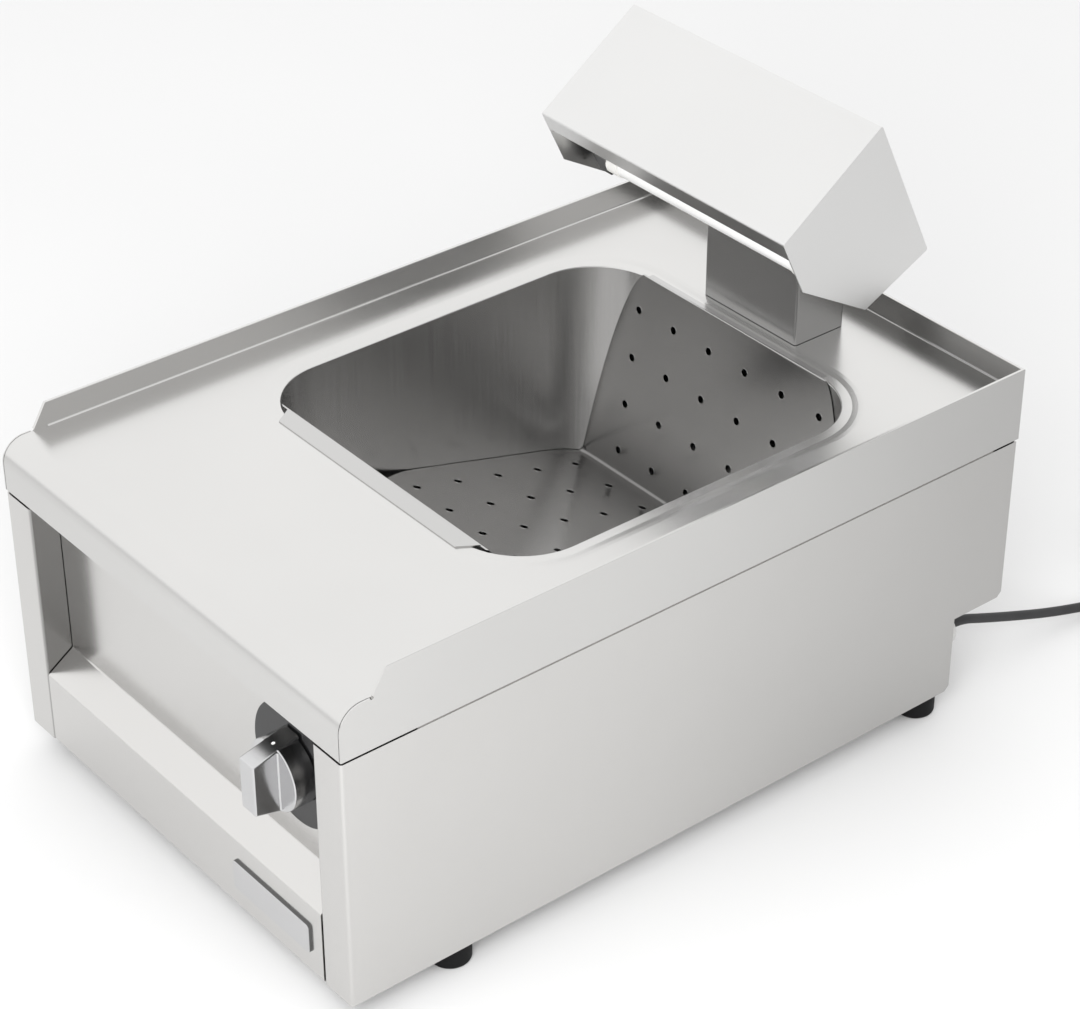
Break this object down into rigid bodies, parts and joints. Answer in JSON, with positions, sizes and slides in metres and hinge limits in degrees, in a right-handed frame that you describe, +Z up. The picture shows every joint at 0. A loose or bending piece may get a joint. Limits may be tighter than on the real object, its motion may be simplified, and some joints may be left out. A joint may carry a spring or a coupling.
{
  "type": "countertop fries station",
  "caption": "Countertop fries station: round-nosed steel worktop, heated well with a lift-out perforated tray, control knob and an infrared lamp hood on a pillar.",
  "frame": {"origin": "on the table, under the middle of the box that holds everything but the power cord, its coil and plug", "axes": "+X to the right as seen from the front, +Y from the knob to the rear, +Z up"},
  "size_m": [0.427, 0.951, 0.4719],
  "materials": {
    "steel_top": "satin",
    "steel_panel": "satin",
    "steel_well": "brushed",
    "bright_aluminium": "polished",
    "frosted_quartz": "frosted",
    "ceramic": "matte",
    "dark_metal": "dulled",
    "chrome": "polished",
    "white_paint": "gloss",
    "dial_grey": "satin",
    "badge_metal": "brushed",
    "black_plastic": "matte",
    "grey_plastic": "satin",
    "zinc": "plated",
    "copper": "drawn",
    "silicone": "matte",
    "cord_rubber": "matte",
    "plug_rubber": "matte",
    "nickel": "plated",
    "lead_sleeve": "matte",
    "foot_rubber": "matte"
  },
  "bodies": {
    "cabinet": {"badge_plate": "badge_metal", "base_plate": "steel_panel", "coil_tie": "black_plastic", "cord_coil": "cord_rubber", "dial_plate": "dial_grey", "fascia": "steel_panel", "foot_front_left": "foot_rubber", "foot_front_right": "foot_rubber", "foot_nuts": "zinc", "foot_rear_left": "foot_rubber", "foot_rear_right": "foot_rubber", "foot_screws": "zinc", "gland_body": "grey_plastic", "gland_cap": "grey_plastic", "gland_nut": "grey_plastic", "heater_cover": "zinc", "heater_lead": "lead_sleeve", "heater_pad": "silicone", "hood_end_left": "steel_panel", "hood_end_right": "steel_panel", "hood_nuts": "zinc", "hood_screws": "zinc", "hood_shell": "steel_top", "lamp_caps": "ceramic", "lamp_holders": "dark_metal", "lamp_lead": "lead_sleeve", "lamp_tube": "frosted_quartz", "mains_lead": "cord_rubber", "pillar": "steel_panel", "pillar_bracket": "zinc", "pillar_nuts": "zinc", "pillar_screws": "zinc", "plug_body": "plug_rubber", "plug_pins": "nickel", "power_cord": "cord_rubber", "rail_left": "steel_panel", "rail_right": "steel_panel", "rear_panel": "steel_panel", "reflector": "bright_aluminium", "side_panel_left": "steel_panel", "side_panel_right": "steel_panel", "terminal_block": "black_plastic", "thermostat_body": "black_plastic", "thermostat_bulb": "copper", "thermostat_lead": "lead_sleeve", "thermostat_screws": "zinc", "well": "steel_well", "worktop": "steel_top"},
    "knob": {"knob": "chrome", "knob_dot": "white_paint", "thermostat_shaft": "zinc"},
    "tray": {"perforated_tray": "steel_well"}
  },
  "joints": [
    {"name": "knob_turn", "type": "hinge", "parent": "cabinet", "child": "knob", "pos_m": [0.1157, -0.27, 0.1616], "axis": [0, 1, 0], "range_deg": [0, 270]},
    {"name": "tray_lift", "type": "slide", "parent": "cabinet", "child": "tray", "axis": [0, -0.5878, 0.809], "range_m": [0, 0.23]}
  ]
}
